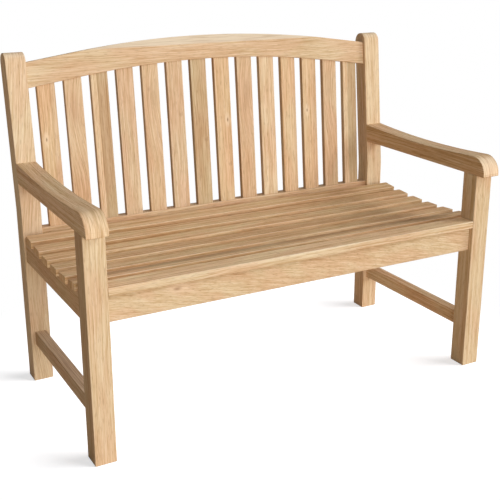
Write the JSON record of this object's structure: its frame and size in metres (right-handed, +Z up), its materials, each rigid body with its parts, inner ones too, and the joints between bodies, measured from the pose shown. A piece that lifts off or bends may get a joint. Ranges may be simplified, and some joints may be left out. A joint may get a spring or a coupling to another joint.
{
  "type": "outdoor bench",
  "caption": "Wooden garden bench with slatted back, arched top rail, dished slatted seat, scrolled arms and square legs with side stretchers.",
  "frame": {"origin": "on the ground, half way along the bench and half way between its front and back extremes", "axes": "+X along the bench, to the right seen from the front; +Y to the back; +Z up"},
  "size_m": [1.2, 0.6398, 0.9435],
  "materials": {
    "teak": "sanded, unoiled natural hardwood",
    "screw_steel": "plain stainless steel"
  },
  "bodies": {
    "root": {"arm_left": "teak", "arm_right": "teak", "back_post_left": "teak", "back_post_right": "teak", "back_seat_rail": "teak", "back_slat_01": "teak", "back_slat_02": "teak", "back_slat_03": "teak", "back_slat_04": "teak", "back_slat_05": "teak", "back_slat_06": "teak", "back_slat_07": "teak", "back_slat_08": "teak", "back_slat_09": "teak", "back_slat_10": "teak", "back_slat_11": "teak", "back_slat_12": "teak", "back_slat_13": "teak", "back_slat_14": "teak", "front_leg_left": "teak", "front_leg_right": "teak", "front_seat_rail": "teak", "middle_seat_bearer": "teak", "seat_slat_1": "teak", "seat_slat_2": "teak", "seat_slat_3": "teak", "seat_slat_4": "teak", "seat_slat_5": "teak", "seat_slat_6": "teak", "seat_slat_7": "teak", "seat_slat_screws": "screw_steel", "side_seat_rail_left": "teak", "side_seat_rail_right": "teak", "side_stretcher_left": "teak", "side_stretcher_right": "teak", "top_rail": "teak"}
  },
  "joints": []
}
